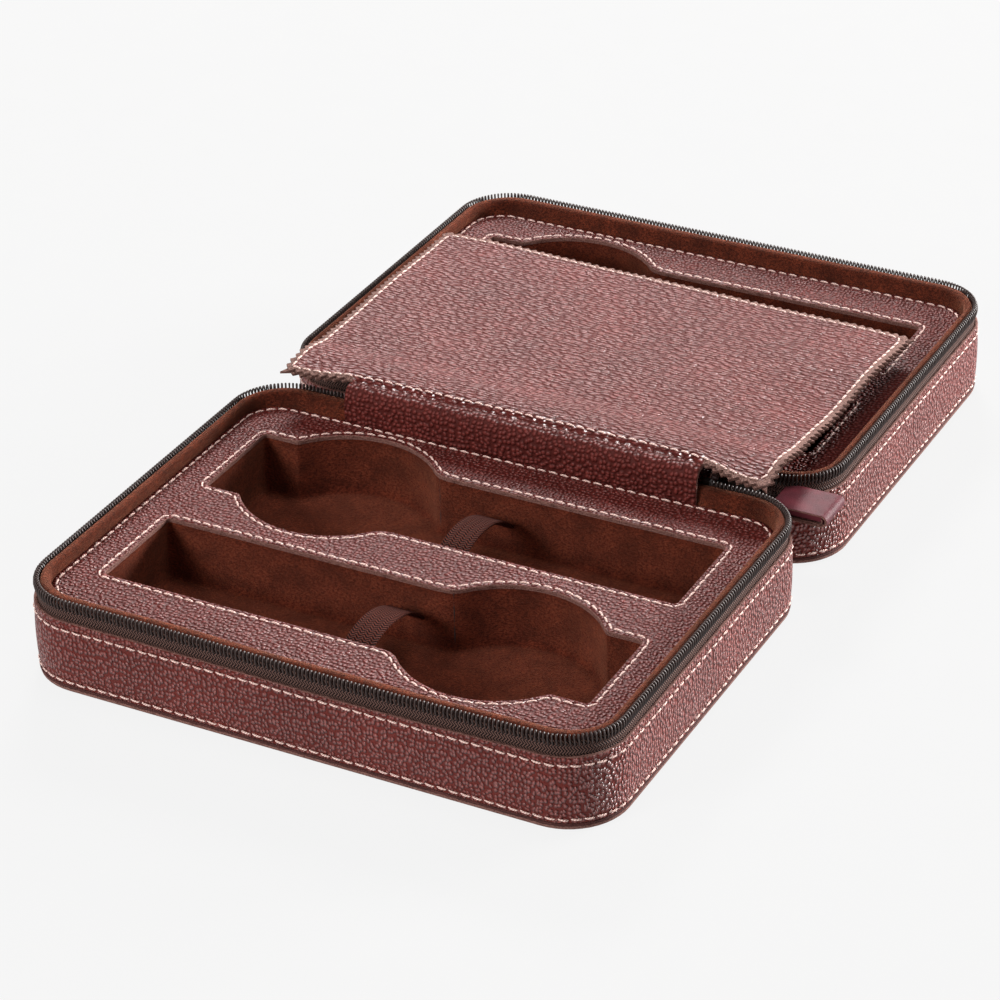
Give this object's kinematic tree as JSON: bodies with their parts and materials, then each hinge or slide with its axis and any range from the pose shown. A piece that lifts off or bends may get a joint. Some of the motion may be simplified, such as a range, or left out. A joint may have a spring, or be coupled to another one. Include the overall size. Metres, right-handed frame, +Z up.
{
  "type": "watch box",
  "caption": "Zip-around leather watch box lying open: suede-lined halves with keyhole compartments and elastic straps, leather hinge, divider flap, zip slider and end tab.",
  "frame": {"origin": "centre of the base half's underside, at table height", "axes": "+Y runs across the hinge from the base half to the open lid half, +X runs along the hinge towards the zip end tab, +Z is up"},
  "size_m": [0.2011, 0.3064, 0.0398],
  "materials": {
    "leather": "pebbled, semi-matt",
    "flap_leather": "pebbled, soft, semi-matt",
    "leather_edge": "raw cut edge",
    "tab_leather": "smooth, satin",
    "suede": "suede nap",
    "suede_dark": "suede nap",
    "elastic": "ribbed woven",
    "zip_tape": "woven",
    "zip_coil": "satin nylon",
    "board": "fibreboard",
    "foam": "foam",
    "metal": "dark nickel"
  },
  "bodies": {
    "base": {"base_bottom": "leather", "base_welt": "leather_edge", "base_wall": "leather", "base_board": "board", "base_core": "foam", "base_rim": "suede", "base_panel": "leather", "base_liner_far": "suede_dark", "base_strap_far": "elastic", "base_liner_near": "suede_dark", "base_strap_near": "elastic", "base_tape": "zip_tape", "base_coil": "zip_coil", "base_stops": "zip_coil", "spine_lining": "leather", "spine_cover": "leather", "zip_tail_tape": "zip_tape", "zip_tail_coil": "zip_coil", "zip_tab": "tab_leather", "zip_tab_filler": "tab_leather"},
    "lid": {"lid_bottom": "leather", "lid_welt": "leather_edge", "lid_wall": "leather", "lid_board": "board", "lid_core": "foam", "lid_rim": "suede", "lid_panel": "leather", "lid_liner_far": "suede_dark", "lid_strap_far": "elastic", "lid_liner_near": "suede_dark", "lid_strap_near": "elastic", "lid_tape": "zip_tape", "lid_coil": "zip_coil", "lid_stops": "zip_coil", "flap_root": "flap_leather"},
    "flap": {"flap_top": "flap_leather", "flap_under": "flap_leather"},
    "slider": {"slider": "metal"},
    "pull": {"pull": "metal"}
  },
  "joints": [
    {"name": "lid_hinge", "type": "hinge", "parent": "base", "child": "lid", "pos_m": [0, 0.079, 0.032], "axis": [1, 0, 0], "range_deg": [0, 179.9], "deforming": ["spine_lining", "spine_cover"]},
    {"name": "flap_hinge", "type": "hinge", "parent": "lid", "child": "flap", "pos_m": [0, 0.08, 0.035], "axis": [-1, 0, 0], "range_deg": [-179.9, 0], "deforming": ["flap_root"]},
    {"name": "slider_slide", "type": "slide", "parent": "base", "child": "slider", "axis": [1, 0, 0], "range_m": [-0.004, 0.006]},
    {"name": "pull_hinge", "type": "hinge", "parent": "slider", "child": "pull", "pos_m": [0.073, 0.079, 0.024], "axis": [0, 1, 0], "range_deg": [-55, 55]}
  ]
}
